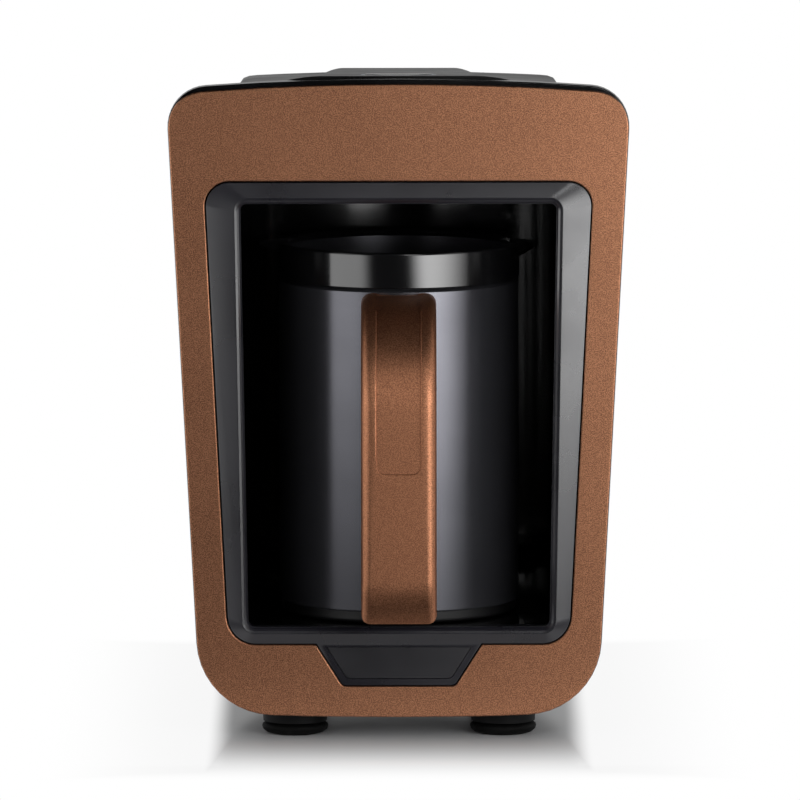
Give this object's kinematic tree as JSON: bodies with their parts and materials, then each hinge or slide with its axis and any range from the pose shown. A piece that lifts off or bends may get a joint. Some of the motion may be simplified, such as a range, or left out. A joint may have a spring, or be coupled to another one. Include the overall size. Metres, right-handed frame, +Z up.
{
  "type": "electric turkish coffee maker",
  "caption": "Upright countertop coffee maker with a tapered copper-coloured front, a black housing and an open alcove that holds a handled brewing jug with side spouts.",
  "frame": {"origin": "centre of the bounding box's footprint, on the plane that the feet rest on", "axes": "+Z up, -Y out of the front (towards the user), +X to the right as seen from the front"},
  "size_m": [0.1664, 0.208, 0.2407],
  "materials": {
    "aluminium": "as cast",
    "black_gloss": "glossy",
    "black_matte": "matte",
    "black_shell": "satin gloss",
    "black_steel": "satin",
    "board": "solder mask",
    "brass": "plain",
    "cable": "flat lead",
    "capacitor_case": "moulded",
    "ceramic": "ceramic",
    "component": "moulded",
    "copper_panel": "satin metallic",
    "copper_plastic": "satin metallic",
    "dark_lens": "clear dark",
    "light_guide": "translucent",
    "relay_case": "moulded",
    "rubber": "matte",
    "steel": "plain",
    "winding": "taped winding"
  },
  "bodies": {
    "housing": {"front_panel": "copper_panel", "front_frame": "black_gloss", "alcove_bezel": "black_gloss", "badge_plate": "black_gloss", "alcove_liner": "black_gloss", "body_shell": "black_shell", "top_cover": "black_shell", "base_plate": "black_shell", "rear_cover": "black_shell", "cord_gland": "rubber", "foot_front_left": "rubber", "foot_front_right": "rubber", "foot_rear_left": "rubber", "foot_rear_right": "rubber", "base_screws": "steel", "rear_screws": "steel", "light_ring": "light_guide", "button_spring": "steel", "control_board": "board", "start_switch": "component", "buzzer": "component", "board_screws": "steel", "foam_sensor_lens": "dark_lens", "foam_sensor": "board", "power_board": "board", "transformer": "winding", "relay": "relay_case", "capacitor": "capacitor_case", "ribbon_cable": "cable", "base_connector": "black_matte", "contact_blades": "brass"},
    "jug": {"jug_body": "black_steel", "jug_collar": "black_gloss", "jug_base": "black_matte", "heater_plate": "aluminium", "heating_element": "steel", "thermostat": "ceramic", "jug_socket": "black_matte", "jug_base_screws": "steel", "handle_core": "black_matte", "handle_cover": "copper_plastic", "handle_screws": "steel"},
    "button": {"start_button": "black_gloss", "button_clip": "steel"}
  },
  "joints": [
    {"name": "jug_slide", "type": "slide", "parent": "housing", "child": "jug", "axis": [0, -1, 0], "range_m": [0, 0.17]},
    {"name": "button_press", "type": "slide", "parent": "housing", "child": "button", "axis": [0, 0, -1], "range_m": [0, 0.0015], "stiffness_N_per_m": 300, "springref_m": -0.002, "deforming": ["button_spring"]}
  ]
}
